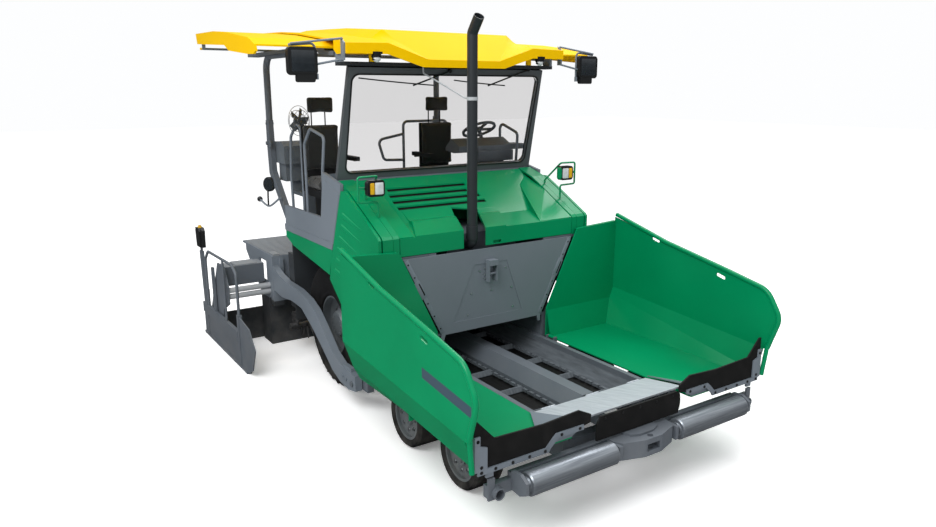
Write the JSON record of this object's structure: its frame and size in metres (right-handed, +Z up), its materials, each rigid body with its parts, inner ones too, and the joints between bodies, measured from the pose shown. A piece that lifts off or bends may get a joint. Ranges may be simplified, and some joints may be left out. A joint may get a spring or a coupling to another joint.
{
  "type": "asphalt paver",
  "caption": "Wheeled asphalt paver with a tipping hopper in front, a conveyor tunnel, a roofed operator stand, augers and a screed that widens at the rear.",
  "frame": {"origin": "middle of the footprint on the ground, midway between the hitch plate at the front and the walkway edge at the rear", "axes": "+X towards the hopper end, the way it travels; +Y to its left; +Z up"},
  "size_m": [6.335, 3.94, 3.8609],
  "materials": {
    "body_green": "semi-gloss green paint",
    "roof_yellow": "semi-gloss moulded glass fibre",
    "frame_grey": "satin grey paint, dusty low down",
    "light_grey": "satin light grey paint, rubbed bright where mix slides",
    "dark_grey": "satin dark grey paint",
    "rim_grey": "satin paint with dust",
    "tyre": "matt",
    "solid_tyre": "matt, dusty",
    "rubber": "matt, dusty",
    "worn_steel": "worn bare steel",
    "black_trim": "satin black",
    "seat_fabric": "black upholstery",
    "glass": "clear"
  },
  "bodies": {
    "frame": {"bulkhead": "frame_grey", "canopy_posts": "dark_grey", "canopy_roof": "roof_yellow", "chassis": "frame_grey", "consoles": "black_trim", "conveyor": "worn_steel", "conveyor_cover": "frame_grey", "engine_block": "frame_grey", "exhaust": "dark_grey", "front_axle": "frame_grey", "handrails": "light_grey", "hood_body": "body_green", "mirrors": "black_trim", "platform": "frame_grey", "seat_bases": "black_trim", "seats": "seat_fabric", "windscreen_frame": "dark_grey", "windscreen_glass": "glass", "work_lamps": "black_trim"},
    "hopper_wing_left": {"hopper_wing_left": "body_green", "wing_flap_left": "rubber", "wing_rail_left": "light_grey"},
    "side_door_left": {"side_door_left": "body_green"},
    "awning_left": {"awning_left": "roof_yellow"},
    "screed_extension_left": {"screed_extension_left": "frame_grey", "end_gate_left": "frame_grey"},
    "auger_left": {"auger_left": "worn_steel"},
    "rear_wheel_left": {"rear_rim_left": "rim_grey", "rear_tyre_left": "tyre"},
    "push_roller_left": {"push_roller_left": "worn_steel"},
    "steer_rear_left": {"knuckle_rear_left": "frame_grey"},
    "front_wheel_rear_left": {"front_rim_rear_left": "rim_grey", "front_tyre_rear_left": "solid_tyre"},
    "steer_lead_left": {"knuckle_lead_left": "frame_grey"},
    "front_wheel_lead_left": {"front_rim_lead_left": "rim_grey", "front_tyre_lead_left": "solid_tyre"},
    "hopper_wing_right": {"hopper_wing_right": "body_green", "wing_flap_right": "rubber", "wing_rail_right": "light_grey"},
    "side_door_right": {"side_door_right": "body_green"},
    "awning_right": {"awning_right": "roof_yellow"},
    "screed_extension_right": {"screed_extension_right": "frame_grey", "end_gate_right": "frame_grey"},
    "auger_right": {"auger_right": "worn_steel"},
    "rear_wheel_right": {"rear_rim_right": "rim_grey", "rear_tyre_right": "tyre"},
    "push_roller_right": {"push_roller_right": "worn_steel"},
    "steer_rear_right": {"knuckle_rear_right": "frame_grey"},
    "front_wheel_rear_right": {"front_rim_rear_right": "rim_grey", "front_tyre_rear_right": "solid_tyre"},
    "steer_lead_right": {"knuckle_lead_right": "frame_grey"},
    "front_wheel_lead_right": {"front_rim_lead_right": "rim_grey", "front_tyre_lead_right": "solid_tyre"},
    "apron": {"apron": "light_grey", "apron_flap": "rubber"},
    "push_beam": {"push_beam": "frame_grey"},
    "hood_lid": {"hood_lid": "body_green"},
    "screed": {"screed_frame": "frame_grey", "tow_arms": "light_grey"}
  },
  "joints": [
    {"name": "wing_left_lift", "type": "hinge", "parent": "frame", "child": "hopper_wing_left", "pos_m": [1.9675, 0.67, 0.65], "axis": [1, 0, 0], "range_deg": [0, 48]},
    {"name": "door_left", "type": "hinge", "parent": "frame", "child": "side_door_left", "pos_m": [0.9655, 1.256, 1.18], "axis": [0, 0, -1], "range_deg": [0, 70]},
    {"name": "awning_left_slide", "type": "slide", "parent": "frame", "child": "awning_left", "axis": [0, 1, 0], "range_m": [-0.65, 0]},
    {"name": "extension_left_slide", "type": "slide", "parent": "screed", "child": "screed_extension_left", "axis": [0, 1, 0], "range_m": [-0.51, 0]},
    {"name": "auger_left_turn", "type": "hinge", "parent": "frame", "child": "auger_left", "pos_m": [-1.6425, 0.6, 0.34], "axis": [0, 1, 0], "continuous": true},
    {"name": "rear_wheel_left_turn", "type": "hinge", "parent": "frame", "child": "rear_wheel_left", "pos_m": [-0.4325, 0.957, 0.683], "axis": [0, 1, 0], "continuous": true},
    {"name": "push_roller_left_turn", "type": "hinge", "parent": "push_beam", "child": "push_roller_left", "pos_m": [3.0775, 0.7775, 0.475], "axis": [0, 1, 0], "continuous": true},
    {"name": "steer_rear_left", "type": "hinge", "parent": "frame", "child": "steer_rear_left", "pos_m": [1.2875, 0.8, 0.28], "axis": [0, 0, 1], "range_deg": [-20, 20]},
    {"name": "front_wheel_rear_left_turn", "type": "hinge", "parent": "steer_rear_left", "child": "front_wheel_rear_left", "pos_m": [1.2875, 1.05, 0.28], "axis": [0, 1, 0], "continuous": true},
    {"name": "steer_lead_left", "type": "hinge", "parent": "frame", "child": "steer_lead_left", "pos_m": [2.1675, 0.8, 0.28], "axis": [0, 0, 1], "range_deg": [-20, 20]},
    {"name": "front_wheel_lead_left_turn", "type": "hinge", "parent": "steer_lead_left", "child": "front_wheel_lead_left", "pos_m": [2.1675, 1.05, 0.28], "axis": [0, 1, 0], "continuous": true},
    {"name": "wing_right_lift", "type": "hinge", "parent": "frame", "child": "hopper_wing_right", "pos_m": [1.9675, -0.67, 0.65], "axis": [-1, 0, 0], "range_deg": [0, 48]},
    {"name": "door_right", "type": "hinge", "parent": "frame", "child": "side_door_right", "pos_m": [0.9655, -1.256, 1.18], "axis": [0, 0, 1], "range_deg": [0, 70]},
    {"name": "awning_right_slide", "type": "slide", "parent": "frame", "child": "awning_right", "axis": [0, -1, 0], "range_m": [-0.65, 0]},
    {"name": "extension_right_slide", "type": "slide", "parent": "screed", "child": "screed_extension_right", "axis": [0, -1, 0], "range_m": [-0.51, 0]},
    {"name": "auger_right_turn", "type": "hinge", "parent": "frame", "child": "auger_right", "pos_m": [-1.6425, -0.6, 0.34], "axis": [0, 1, 0], "continuous": true},
    {"name": "rear_wheel_right_turn", "type": "hinge", "parent": "frame", "child": "rear_wheel_right", "pos_m": [-0.4325, -0.957, 0.683], "axis": [0, 1, 0], "continuous": true},
    {"name": "push_roller_right_turn", "type": "hinge", "parent": "push_beam", "child": "push_roller_right", "pos_m": [3.0775, -0.7775, 0.475], "axis": [0, 1, 0], "continuous": true},
    {"name": "steer_rear_right", "type": "hinge", "parent": "frame", "child": "steer_rear_right", "pos_m": [1.2875, -0.8, 0.28], "axis": [0, 0, 1], "range_deg": [-20, 20]},
    {"name": "front_wheel_rear_right_turn", "type": "hinge", "parent": "steer_rear_right", "child": "front_wheel_rear_right", "pos_m": [1.2875, -1.05, 0.28], "axis": [0, 1, 0], "continuous": true},
    {"name": "steer_lead_right", "type": "hinge", "parent": "frame", "child": "steer_lead_right", "pos_m": [2.1675, -0.8, 0.28], "axis": [0, 0, 1], "range_deg": [-20, 20]},
    {"name": "front_wheel_lead_right_turn", "type": "hinge", "parent": "steer_lead_right", "child": "front_wheel_lead_right", "pos_m": [2.1675, -1.05, 0.28], "axis": [0, 1, 0], "continuous": true},
    {"name": "apron_fold", "type": "hinge", "parent": "frame", "child": "apron", "pos_m": [2.4575, 0, 0.645], "axis": [0, -1, 0], "range_deg": [0, 45]},
    {"name": "push_beam_swing", "type": "hinge", "parent": "frame", "child": "push_beam", "pos_m": [2.8775, 0, 0.465], "axis": [0, 0, 1], "range_deg": [-3, 3]},
    {"name": "hood_lid_lift", "type": "hinge", "parent": "frame", "child": "hood_lid", "pos_m": [0.0445, 0, 2.285], "axis": [0, -1, 0], "range_deg": [0, 50]},
    {"name": "screed_lift", "type": "hinge", "parent": "frame", "child": "screed", "pos_m": [0.3475, 0, 0.3], "axis": [0, 1, 0], "range_deg": [0, 6]}
  ],
  "couplings": [
    {"joint": "steer_rear_left", "follows": "steer_lead_left", "ratio": 1},
    {"joint": "steer_rear_right", "follows": "steer_lead_left", "ratio": 1},
    {"joint": "steer_lead_right", "follows": "steer_lead_left", "ratio": 1}
  ]
}
